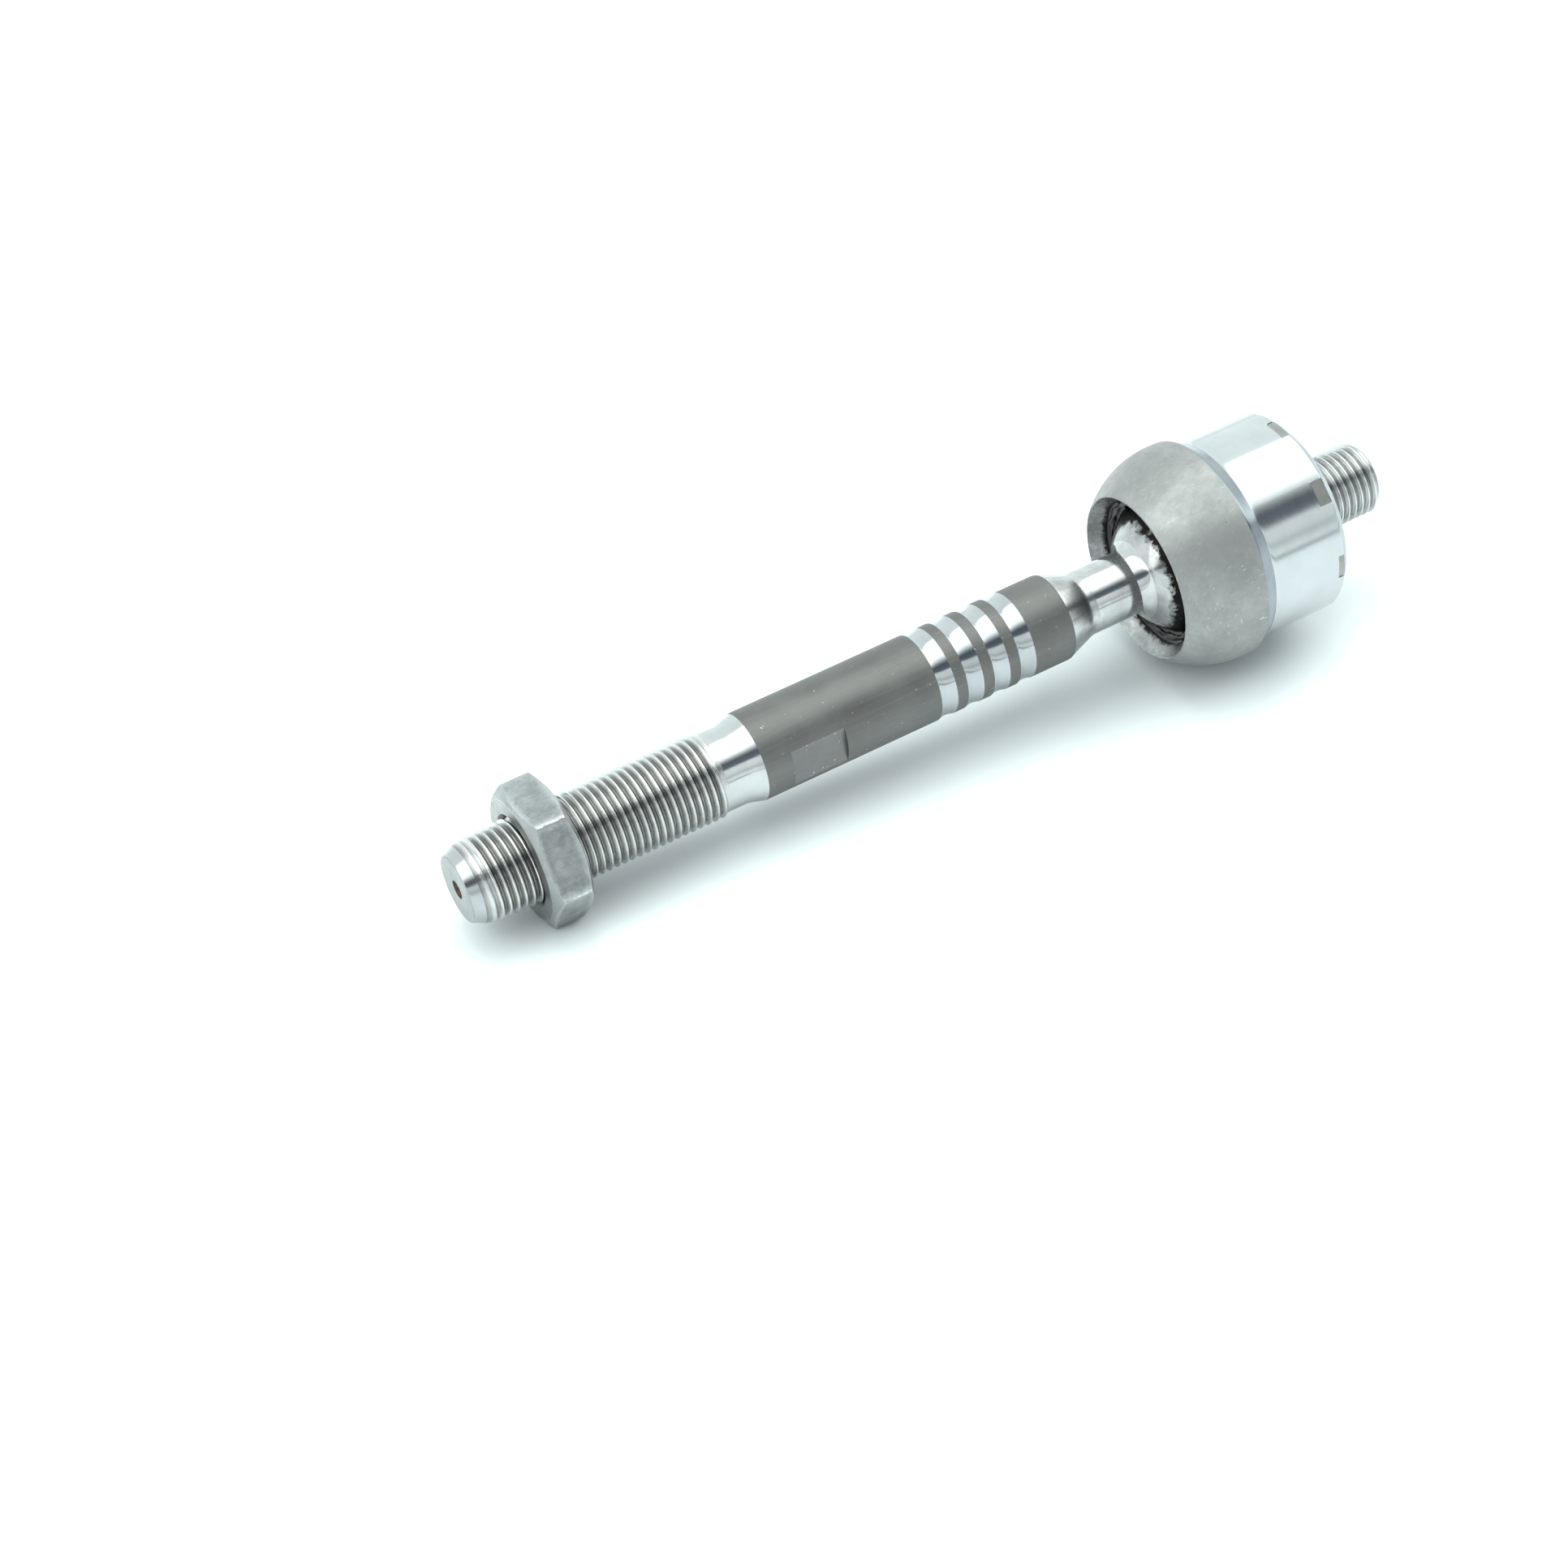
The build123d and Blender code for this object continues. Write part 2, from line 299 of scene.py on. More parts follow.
def rod_depth(x):
    """Depth of the rod's thread, which fades out at both ends."""
    start = smooth((x - THREAD_START) / 2.2)
    end = smooth((TIP_X - PLAIN_BEVEL_LENGTH - x) / 3.0)
    return THREAD_DEPTH * start * end


def build_rod():
    """Ball, neck, body and threaded end, in one piece."""
    edge = math.degrees(math.acos(FLAT_FROM_AXIS / BODY_RADIUS))
    angles = turn_angles((edge, -edge, 180 + edge, 180 - edge))
    bevel_x = TIP_X - PLAIN_BEVEL_LENGTH
    rows = ball_and_neck_rows() + body_rows(angles) + relief_rows()
    rows += thread_rows(THREAD_START, bevel_x, rod_crest, rod_depth, angles, THREAD)
    rows += tip_rows(bevel_x, rod_crest(bevel_x), rod_crest(TIP_X))
    plain = [(THREAD_START + 0.2, bevel_x - 0.2)]
    piece = lathe("tie_rod", rows, angles, plain_between=plain)
    for face in piece.data.polygons:
        on_flat = abs(face.center.y) / MM > FLAT_FROM_AXIS - 0.01
        if face.material_index == FLAT and not on_flat:
            face.material_index = BODY
    return piece


# ---------------------------------------------------------------- housing

(STUD, STUD_FACE, SHOULDER, CYLINDER, COLLAR, BULB, FLARE, INSIDE, PAD) = range(9)
STUD_RADIUS = 7.0
STUD_TIP_RADIUS = 5.8
STUD_RELIEF_RADIUS = 6.5
CYLINDER_RADIUS = 19.5
CYLINDER_END = BALL_X - 5.4
COLLAR_X = BALL_X - 2.7
CROWN_X = BALL_X - 1.0
BULB_ARC = 19.0
BULB_BASE = BULB_RADIUS - BULB_ARC
BORE_RADIUS = 16.75
BORE_FLOOR_X = 3.2
THROAT_ANGLE = 56.7
MOUTH_FLARE = 1.9
LIP_WIDTH = 0.5
PAD_HALF = math.degrees(2.4 / 19.3)
PAD_DEPTH = 0.3
PAD_LENGTHS = (2.7, 3.9, 3.1, 3.7, 2.5, 3.9, 3.3, 2.9)
PAD_END = 4.0
PAD_STEP = 360 // len(PAD_LENGTHS)


def from_pad(angles):
    """Degrees from the middle of the nearest pad around the rear edge."""
    return (np.degrees(angles) + PAD_STEP / 2) % PAD_STEP - PAD_STEP / 2


def pad_length(degrees):
    """Length of the nearest pad, from the rear face."""
    number = (np.asarray(degrees) / PAD_STEP + 0.5).astype(int) % len(PAD_LENGTHS)
    return np.array(PAD_LENGTHS)[number]


def stud_crest(x):
    """Radius of the stud thread's crest, from the end's cone to the relief at the housing."""
    cone = STUD_TIP_RADIUS + (x - STUD_END_X)
    runout = smooth((-1.2 - x) / 0.9)
    rise = STUD_RELIEF_RADIUS + (STUD_RADIUS - STUD_RELIEF_RADIUS) * runout
    return min(STUD_RADIUS, cone, rise)


def stud_depth(x):
    """Depth of the stud's thread, which fades out at both ends."""
    start = smooth((x - STUD_END_X - 0.2) / 1.6)
    end = smooth((-0.9 - x) / 1.6)
    return THREAD_DEPTH * start * end


def stud_rows(angles):
    """Stud from its end face to the housing's rear face, which is x = 0."""
    rows = [(STUD_END_X, 0, STUD_FACE)]
    rows += stretch(STUD_END_X, 1.5, STUD_END_X, STUD_TIP_RADIUS - 0.08, 4, STUD_FACE)
    rows.append((STUD_END_X, STUD_TIP_RADIUS - 0.06, STUD))
    rows.append((STUD_END_X + 0.1, STUD_TIP_RADIUS + 0.1, STUD))
    rows += thread_rows(STUD_END_X + 0.25, -1.0, stud_crest, stud_depth, angles, STUD)
    rows.append((-0.6, STUD_RELIEF_RADIUS, STUD))
    rows.append((-0.25, STUD_RELIEF_RADIUS + 0.05, SHOULDER))
    rows.append((-0.05, STUD_RELIEF_RADIUS + 0.25, SHOULDER))
    return rows


def cylinder_rows(angles):
    """Rear face, its chamfer, the pads and the turned cylinder."""
    away = from_pad(angles)
    on_pad = np.abs(away) < PAD_HALF + 0.05
    pad_flat = (CYLINDER_RADIUS - PAD_DEPTH) / np.cos(np.radians(away))
    pad_radius = np.where(on_pad, pad_flat, CYLINDER_RADIUS)
    length = pad_length(np.degrees(angles))
    rows = stretch(0, STUD_RADIUS, 0, CYLINDER_RADIUS - 1.6, 14, SHOULDER)
    rows.append((0.03, CYLINDER_RADIUS - 1.47, SHOULDER))
    rows.append((1.42, CYLINDER_RADIUS - 0.08, SHOULDER))
    rows.append((1.56, np.minimum(CYLINDER_RADIUS, pad_radius + 0.02), PAD))
    for x in np.arange(1.8, PAD_END + 0.01, 0.2):
        rows.append((float(x), np.where(x < length, pad_radius, CYLINDER_RADIUS), PAD))
    rows.append((PAD_END + 0.02, CYLINDER_RADIUS, CYLINDER))
    end = CYLINDER_END - 0.05
    rows += stretch(PAD_END + 0.8, CYLINDER_RADIUS, end, CYLINDER_RADIUS, 16, CYLINDER)
    rows.append((end, CYLINDER_RADIUS, CYLINDER))
    return rows


def bulb_rows():
    """Collar and swaged bulb, up to the lip of the mouth."""
    collar_radius = BULB_BASE + math.sqrt(BULB_ARC**2 - (COLLAR_X - CROWN_X) ** 2)
    rows = [(CYLINDER_END + 0.06, CYLINDER_RADIUS + 0.05, COLLAR)]
    rise = (collar_radius - CYLINDER_RADIUS) / (COLLAR_X - CYLINDER_END)
    steps = 6
    for i in range(1, steps + 1):
        x = CYLINDER_END + (COLLAR_X - 0.12 - CYLINDER_END) * i / steps
        rows.append((x, CYLINDER_RADIUS + (x - CYLINDER_END) * rise, COLLAR))
    lip_x = MOUTH_X - LIP_WIDTH
    start = math.degrees(math.acos((COLLAR_X + 0.08 - CROWN_X) / BULB_ARC))
    end = math.degrees(math.acos((lip_x - 0.1 - CROWN_X) / BULB_ARC))
    rows += arc(CROWN_X, BULB_BASE, BULB_ARC, start, end, 48, BULB)
    lip_radius = BULB_BASE + math.sqrt(BULB_ARC**2 - (lip_x - CROWN_X) ** 2)
    rows.append((lip_x - 0.1, lip_radius + 0.09, BULB))
    rows.append((lip_x + 0.22, lip_radius - 0.18, BULB))
    return rows


def mouth_rows():
    """Flared mouth, the spherical throat round the shell, the bore and its floor."""
    throat_x = BALL_X + BORE_RADIUS * math.cos(math.radians(THROAT_ANGLE))
    throat_radius = BORE_RADIUS * math.sin(math.radians(THROAT_ANGLE))
    mouth_radius = throat_radius + MOUTH_FLARE
    rows = [
        (MOUTH_X - 0.1, mouth_radius + 0.18, FLARE),
        (MOUTH_X, mouth_radius - 0.02, FLARE),
        (MOUTH_X - 0.14, mouth_radius - 0.16, FLARE),
    ]
    rows += stretch(MOUTH_X - 0.4, mouth_radius - 0.28, throat_x, throat_radius, 10, FLARE)
    rows += arc(BALL_X, 0, BORE_RADIUS, THROAT_ANGLE, 90, 16, INSIDE)
    rows += stretch(BALL_X, BORE_RADIUS, BORE_FLOOR_X, BORE_RADIUS, 8, INSIDE)
    rows += [(BORE_FLOOR_X, radius, INSIDE) for radius in (BORE_RADIUS, 8.0, 0)]
    return rows


def build_housing():
    """Stud, turned cylinder, swaged bulb and mouth, in one piece."""
    middles = [PAD_STEP * i for i in range(len(PAD_LENGTHS))]
    edges = [middle + side * PAD_HALF for middle in middles for side in (-1, 1)]
    edges += [middle + side * (PAD_HALF + 0.35) for middle in middles for side in (-1, 1)]
    angles = turn_angles(edges)
    rows = stud_rows(angles) + cylinder_rows(angles) + bulb_rows() + mouth_rows()
    plain = [(STUD_END_X + 0.3, -1.1)]
    piece = lathe("housing_shell", rows, angles, plain_between=plain)
    give_back_cylinder(piece.data)
    return piece


def give_back_cylinder(mesh):
    """Faces beside a pad or in front of it belong to the turned cylinder."""
    for face in mesh.polygons:
        if face.material_index != PAD:
            continue
        angle = math.atan2(face.center.z, face.center.y) % (2 * math.pi)
        beside = abs(from_pad(angle)) >= PAD_HALF + 0.05
        if beside or face.center.x / MM > pad_length(math.degrees(angle)) + 0.1:
            face.material_index = CYLINDER


# ---------------------------------------------------------------- nut and grease

(NUT_FLAT, NUT_FACE, NUT_BORE, NUT_EDGE) = range(4)
NUT_BORE_RADIUS = THREAD_RADIUS + 0.05
NUT_COUNTERSINK = 0.62
NUT_CORNER_ROUNDING = 0.12
NUT_CORNER_HALF = 0.9  # degrees
NUT_FACE_SHARE = 0.95
NUT_CHAMFER = 30
EDGE_ROUNDING = 0.03


def hexagon_radius(angles, across):
    """Distance from the axis to a hexagon's flats, with its corners rounded off."""
    away = np.radians(np.abs(np.degrees(angles) % 60 - 30))
    sharp_radius = across / np.cos(away)
    corner = across / math.cos(math.radians(30)) - NUT_CORNER_ROUNDING
    rounded = -np.log(np.exp(-10 * sharp_radius) + np.exp(-10 * corner)) / 10
    return np.where(away < math.radians(20), sharp_radius, rounded)


def build_nut():
    """Thin hexagon nut, chamfered on both faces; its edges have a bright material of their own."""
    rear, front = nut_low.x, nut_high.x
    across = nut_high.z
    face_radius = NUT_FACE_SHARE * across
    bore = NUT_BORE_RADIUS
    corners = [60 * i + side for i in range(6) for side in (-1.6, -0.8, 0.8, 1.6)]
    angles = turn_angles(corners)
    hexagon = hexagon_radius(angles, across)
    beyond = hexagon - face_radius
    drop = np.maximum(beyond, 0) * math.tan(math.radians(NUT_CHAMFER))
    inner_rear, inner_front = rear + EDGE_ROUNDING, front - EDGE_ROUNDING
    flat_rear, flat_front = rear + drop + 3 * EDGE_ROUNDING, front - drop - 3 * EDGE_ROUNDING

    rows = [(rear, bore + NUT_COUNTERSINK, NUT_FACE)]
    rows += stretch(rear, bore + 0.7, rear, face_radius - 0.12, 6, NUT_FACE)
    rows.append((rear, face_radius - 0.1, NUT_EDGE))
    rows.append((inner_rear, face_radius + 0.02, NUT_FACE))
    for share in (0.33, 0.66):
        rows.append((inner_rear + drop * share, face_radius + beyond * share, NUT_FACE))
    rows.append((rear + drop, hexagon - EDGE_ROUNDING, NUT_EDGE))
    for share in np.linspace(0, 1, 12)[:-1]:
        rows.append((flat_rear + (flat_front - flat_rear) * share, hexagon, NUT_FLAT))
    rows.append((flat_front, hexagon, NUT_EDGE))
    rows.append((front - drop, hexagon - EDGE_ROUNDING, NUT_FACE))
    for share in (0.66, 0.33):
        rows.append((inner_front - drop * share, face_radius + beyond * share, NUT_FACE))
    rows.append((inner_front, face_radius + 0.02, NUT_EDGE))
    rows.append((front, face_radius - 0.1, NUT_FACE))
    rows += stretch(front, face_radius - 0.3, front, bore + 0.7, 6, NUT_FACE)
    rows.append((front, bore + NUT_COUNTERSINK, NUT_BORE))
    rows.append((front - 0.6, bore, NUT_BORE))
    rows += stretch(front - 1.0, bore, rear + 0.6, bore, 6, NUT_BORE)
    rows.append((rear + 0.6, bore, NUT_BORE))
    piece = lathe("thin_nut", rows, angles, closed=True)
    for face in piece.data.polygons:
        turn = math.degrees(math.atan2(face.center.z, face.center.y)) % 60
        if face.material_index == NUT_FLAT and min(turn, 60 - turn) < NUT_CORNER_HALF:
            face.material_index = NUT_EDGE
    return piece


def build_grease_ring():
    """A thin lumpy bead of grease squeezed out along the shell's front edge."""
    angles = turn_angles()
    lumps = (
        0.40
        + 0.07 * np.sin(5 * angles + 0.7)
        + 0.06 * np.sin(11 * angles + 2.1)
        + 0.05 * np.sin(23 * angles + 4.0)
    )
    shell_edge = math.radians(58.2)
    from_centre = 15.65
    centre_x = BALL_X + from_centre * math.cos(shell_edge)
    centre_radius = from_centre * math.sin(shell_edge)
    rows = []
    steps = 14
    for i in range(steps):
        a = -2 * math.pi * i / steps
        ripple = 0.16 * np.sin(17 * angles + 3 * a) + 0.12 * np.sin(37 * angles - 2 * a + 1)
        size = lumps * (1 + ripple)
        rows.append((centre_x - size * math.cos(a), centre_radius + 1.25 * size * math.sin(a), 0))
    return lathe("grease_bead", rows, angles, closed=True)


# ---------------------------------------------------------------- materials


class Look:
    """A material with short ways of making its nodes."""

    def __init__(self, name, metallic=1.0):
        self.material = bpy.data.materials.new(name)
        self.material.use_nodes = True
        self.tree = self.material.node_tree
        self.shader = self.tree.nodes["Principled BSDF"]
        self.shader.inputs["Metallic"].default_value = metallic
        self.place = self.tree.nodes.new("ShaderNodeTexCoord").outputs["Object"]
        self.normal = None

    def link(self, output, socket):
        self.tree.links.new(output, socket)

    def noise(self, scale, detail=4.0, rough=0.55, seed=0.0, distortion=0.0):
        """Noise from 0 to 1; scale is how many features fit in a millimetre along x, y and z."""
        mapping = self.tree.nodes.new("ShaderNodeMapping")
        mapping.inputs["Location"].default_value = (seed, seed * 1.7, seed * 2.3)
        mapping.inputs["Scale"].default_value = [s / MM for s in scale]
        self.link(self.place, mapping.inputs["Vector"])
        node = self.tree.nodes.new("ShaderNodeTexNoise")
        node.inputs["Scale"].default_value = 1.0
        node.inputs["Detail"].default_value = detail
        node.inputs["Roughness"].default_value = rough
        node.inputs["Distortion"].default_value = distortion
        self.link(mapping.outputs["Vector"], node.inputs["Vector"])
        return node.outputs["Fac"]

    def math(self, kind, a, b=None):
        """Arithmetic on patterns or numbers."""
        node = self.tree.nodes.new("ShaderNodeMath")
        node.operation = kind
        for socket, value in zip(node.inputs, (a, b)):
            if value is None:
                continue
            if isinstance(value, (int, float)):
                socket.default_value = value
            else:
                self.link(value, socket)
        return node.outputs["Value"]

    def weigh(self, a, a_share, b, b_share):
        """Weighted sum of two patterns."""
        a_part = self.math("MULTIPLY", a, a_share)
        return self.math("ADD", a_part, self.math("MULTIPLY", b, b_share))

    def span(self, value, low, high, to_low=0.0, to_high=1.0):
        """Maps low..high to to_low..to_high, held at both ends."""
        node = self.tree.nodes.new("ShaderNodeMapRange")
        node.clamp = True
        for socket, number in zip(node.inputs[1:5], (low, high, to_low, to_high)):
            socket.default_value = number
        self.link(value, node.inputs["Value"])
        return node.outputs["Result"]

    def mix(self, factor, a, b):
        """Colour a where factor is 0, colour b where it is 1."""
        node = self.tree.nodes.new("ShaderNodeMix")
        node.data_type = "RGBA"
        for socket, value in ((node.inputs[0], factor), (node.inputs[6], a), (node.inputs[7], b)):
            if isinstance(value, (int, float)):
                socket.default_value = value
            elif isinstance(value, tuple):
                socket.default_value = (*value, 1)
            else:
                self.link(value, socket)
        return node.outputs[2]

    def axes(self):
        """Places along X, Y and Z, in metres."""
        node = self.tree.nodes.new("ShaderNodeSeparateXYZ")
        self.link(self.place, node.inputs["Vector"])
        return node.outputs["X"], node.outputs["Y"], node.outputs["Z"]

    def from_axis(self):
        """Distance from the X axis, in metres."""
        _, y, z = self.axes()
        square = self.math("ADD", self.math("MULTIPLY", y, y), self.math("MULTIPLY", z, z))
        return self.math("SQRT", square)

    def bump(self, height, depth):
        """Adds relief; depth is its height in millimetres."""
        node = self.tree.nodes.new("ShaderNodeBump")
        node.inputs["Strength"].default_value = 1.0
        node.inputs["Distance"].default_value = depth * MM
        self.link(height, node.inputs["Height"])
        if self.normal is not None:
            self.link(self.normal, node.inputs["Normal"])
        self.normal = node.outputs["Normal"]

    def finish(self, colour, roughness):
        """Joins the patterns to the shader and hands the material over."""
        self.link(colour, self.shader.inputs["Base Color"])
        self.link(roughness, self.shader.inputs["Roughness"])
        if self.normal is not None:
            self.link(self.normal, self.shader.inputs["Normal"])
        return self.material


def turned_steel(name, light, dark, smooth_end, rough_end, relief, seed):
    """Lathe-turned bright steel with fine rings around the axis."""
    look = Look(name)
    rings = look.noise((5.0, 0.02, 0.02), 3, 0.6, seed)
    fine = look.noise((14.0, 0.05, 0.05), 2, 0.5, seed + 3)
    patches = look.noise((0.16, 0.16, 0.16), 4, 0.6, seed + 5)
    specks = look.noise((2.2, 2.2, 2.2), 5, 0.7, seed + 9)
    tint = look.mix(look.span(patches, 0.35, 0.7), light, dark)
    tint = look.mix(look.span(rings, 0.3, 0.75, 0.0, 0.35), tint, dark)
    tint = look.mix(look.span(specks, 0.68, 0.76, 0.0, 0.55), tint, (0.16, 0.15, 0.14))
    rough = look.span(look.weigh(rings, 0.6, patches, 0.4), 0.3, 0.7, smooth_end, rough_end)
    look.bump(fine, relief)
    look.bump(rings, relief * 1.5)
    return look.finish(tint, rough)


def polished_steel(name, light, dark, smooth_end, rough_end, seed, dirt=None):
    """Ground and polished steel, with faint haze and, where asked for, black grease."""
    look = Look(name)
    haze = look.noise((0.3, 0.3, 0.3), 5, 0.62, seed)
    fine = look.noise((3.0, 0.25, 0.25), 4, 0.6, seed + 2)
    tint = look.mix(look.span(haze, 0.35, 0.72), light, dark)
    rough = look.span(look.weigh(haze, 0.5, fine, 0.5), 0.35, 0.68, smooth_end, rough_end)
    if dirt:
        mask = dirt(look)
        tint = look.mix(mask, tint, (0.012, 0.011, 0.010))
        rough = look.math("MAXIMUM", rough, look.math("MULTIPLY", mask, 0.42))
    look.bump(fine, 0.0006)
    return look.finish(tint, rough)


def ball_dirt(look):
    """Smears of grease that thicken away from the neck, towards the shell's edge."""
    x, _, _ = look.axes()
    along = look.math("DIVIDE", look.math("SUBTRACT", x, BALL_X * MM), BALL_RADIUS * MM)
    near_edge = look.span(along, 0.86, 0.60, -0.16, 0.34)
    broad = look.noise((0.30, 0.30, 0.30), 5, 0.6, 4.0, 0.6)
    fine = look.noise((1.3, 1.3, 1.3), 6, 0.72, 6.0, 0.4)
    smear = look.weigh(broad, 0.6, fine, 0.4)
    return look.span(look.math("ADD", smear, near_edge), 0.53, 0.66)


def taper_steel():
    """Turned cone with soft dark blotches, duller than the neck."""
    look = Look("neck_taper")
    blotches = look.noise((0.16, 0.30, 0.30), 4, 0.55, 151.0)
    rings = look.noise((5.0, 0.05, 0.05), 3, 0.6, 153.0)
    specks = look.noise((1.6, 1.6, 1.6), 5, 0.7, 157.0)
    tint = look.mix(look.span(blotches, 0.40, 0.66), (0.56, 0.56, 0.555), (0.38, 0.375, 0.37))
    tint = look.mix(look.span(rings, 0.4, 0.75, 0.0, 0.25), tint, (0.30, 0.295, 0.285))
    tint = look.mix(look.span(specks, 0.66, 0.74, 0.0, 0.5), tint, (0.12, 0.11, 0.10))
    rough = look.span(look.weigh(rings, 0.4, blotches, 0.6), 0.35, 0.66, 0.12, 0.26)
    look.bump(rings, 0.0012)
    return look.finish(tint, rough)


def dark_bar(name, seed, lighter=0.0):
    """Drawn bar with its brownish oxide skin, streaked lengthwise and nicked."""
    look = Look(name)
    streaks = look.noise((0.035, 2.4, 2.4), 5, 0.62, seed)
    fine = look.noise((0.25, 9.0, 9.0), 3, 0.6, seed + 2)
    grain = look.noise((6.0, 6.0, 6.0), 4, 0.7, seed + 4)
    clouds = look.noise((0.11, 0.16, 0.16), 5, 0.6, seed + 6)
    nicks = look.noise((0.9, 0.9, 0.9), 5, 0.72, seed + 8)
    base = (0.158 + lighter, 0.155 + lighter, 0.148 + lighter)
    pale = (0.205 + lighter, 0.202 + lighter, 0.194 + lighter)
    tint = look.mix(look.span(clouds, 0.3, 0.75), base, pale)
    tint = look.mix(look.span(streaks, 0.52, 0.72, 0.0, 0.35), tint, (0.27, 0.27, 0.26))
    tint = look.mix(look.span(fine, 0.55, 0.8, 0.0, 0.5), tint, (0.11, 0.105, 0.10))
    tint = look.mix(look.span(nicks, 0.665, 0.69, 0.0, 0.9), tint, (0.62, 0.61, 0.60))
    tint = look.mix(look.span(grain, 0.62, 0.75, 0.0, 0.35), tint, (0.30, 0.295, 0.285))
    rough = look.span(look.weigh(streaks, 0.5, clouds, 0.5), 0.3, 0.7, 0.42, 0.58)
    look.bump(grain, 0.006)
    look.bump(streaks, 0.008)
    look.bump(nicks, 0.012)
    return look.finish(tint, rough)


def thread_steel(name, crest_radius, bright, brown, seed):
    """Rolled thread: bright crests and flanks, with painted shade in the roots, a dark brownish tone
    that deepens towards the axis.
    """
    look = Look(name)
    radius = look.from_axis()
    # low is 0 in the thread's root and 1 near its crest: it places the painted shade in the roots.
    low = look.span(radius, (crest_radius - THREAD_DEPTH) * MM, (crest_radius - 0.45) * MM)
    stain = look.noise((0.22, 0.3, 0.3), 5, 0.6, seed)
    fine = look.noise((2.5, 2.5, 2.5), 4, 0.65, seed + 3)
    # Painted shade for the roots: a dark brownish tone, mottled, which gives way to the bright colour
    # towards the crest.
    root = look.mix(look.span(stain, 0.35, 0.65), brown, tuple(c * 0.55 for c in brown))
    tint = look.mix(low, root, bright)
    tint = look.mix(look.span(stain, 0.52, 0.70, 0.0, 0.45), tint, tuple(c * 0.5 for c in bright))
    tint = look.mix(look.span(fine, 0.66, 0.74, 0.0, 0.7), tint, (0.09, 0.075, 0.06))
    rough = look.span(look.weigh(fine, 0.6, stain, 0.4), 0.35, 0.68, 0.16, 0.30)
    look.bump(fine, 0.022)
    look.bump(stain, 0.05)
    return look.finish(tint, rough)


def satin_steel(name, light, dark, stain, smooth_end, rough_end, grain_size, relief, seed):
    """Forged, tumbled or machined satin steel with mottling, stains and small dents."""
    look = Look(name)
    clouds = look.noise((0.13, 0.13, 0.13), 6, 0.62, seed)
    mottle = look.noise((0.8, 0.8, 0.8), 5, 0.65, seed + 2)
    grain = look.noise((grain_size,) * 3, 4, 0.7, seed + 4)
    dents = look.noise((0.5, 0.5, 0.5), 6, 0.7, seed + 7)
    scratch = look.noise((0.5, 6.0, 0.9), 3, 0.6, seed + 11, 0.3)
    tint = look.mix(look.span(clouds, 0.32, 0.70), light, dark)
    tint = look.mix(look.span(mottle, 0.45, 0.75, 0.0, 0.5), tint, dark)
    tint = look.mix(look.span(dents, 0.66, 0.72, 0.0, 0.8), tint, stain)
    tint = look.mix(look.span(scratch, 0.64, 0.69, 0.0, 0.5), tint, (0.66, 0.66, 0.65))
    tint = look.mix(look.span(grain, 0.6, 0.75, 0.0, 0.25), tint, stain)
    rough = look.span(look.weigh(clouds, 0.5, mottle, 0.5), 0.35, 0.65, smooth_end, rough_end)
    look.bump(grain, relief)
    look.bump(mottle, relief * 1.2)
    look.bump(dents, relief * 1.5)
    return look.finish(tint, rough)


def nut_flat_steel():
    """Rolled hexagon bar: dark and blotched in the middle of a flat, worn bright at its borders."""
    look = Look("nut_flats")
    x, _, _ = look.axes()
    middle = (nut_low.x + nut_high.x) / 2
    half = (nut_high.x - nut_low.x) / 2
    flat_radius = nut_high.z
    radius = look.from_axis()
    blotches = look.noise((0.35, 0.35, 0.35), 5, 0.62, 107.0)
    mottle = look.noise((1.1, 1.1, 1.1), 5, 0.7, 109.0)
    rolled = look.noise((0.25, 2.2, 2.2), 4, 0.6, 111.0)
    wobble = look.math("MULTIPLY", look.math("SUBTRACT", mottle, 0.5), 1.6 * MM)
    from_middle = look.math("ABSOLUTE", look.math("SUBTRACT", x, middle * MM))
    along = look.math("ADD", from_middle, wobble)
    outward = look.math("ADD", radius, wobble)
    end = look.span(along, (half - 1.6) * MM, (half - 0.7) * MM)
    corner = look.span(outward, (flat_radius + 1.15) * MM, (flat_radius + 1.7) * MM)
    worn = look.math("MAXIMUM", end, corner)
    tint = look.mix(look.span(blotches, 0.35, 0.66), (0.385, 0.40, 0.40), (0.24, 0.255, 0.255))
    tint = look.mix(look.span(rolled, 0.5, 0.72, 0.0, 0.4), tint, (0.18, 0.185, 0.185))
    tint = look.mix(look.span(mottle, 0.60, 0.70, 0.0, 0.5), tint, (0.46, 0.47, 0.47))
    tint = look.mix(look.math("MULTIPLY", worn, 0.75), tint, (0.52, 0.535, 0.535))
    rough = look.span(blotches, 0.3, 0.7, 0.34, 0.48)
    rough = look.math("SUBTRACT", rough, look.math("MULTIPLY", worn, 0.10))
    look.bump(mottle, 0.03)
    look.bump(rolled, 0.02)
    return look.finish(tint, rough)


def worn_edge_steel():
    """Bright rubbed metal along the nut's edges."""
    look = Look("nut_edges")
    rub = look.noise((1.3, 1.3, 1.3), 5, 0.65, 117.0)
    tint = look.mix(look.span(rub, 0.40, 0.62), (0.62, 0.63, 0.63), (0.30, 0.31, 0.31))
    rough = look.span(rub, 0.35, 0.7, 0.18, 0.38)
    look.bump(rub, 0.03)
    return look.finish(tint, rough)


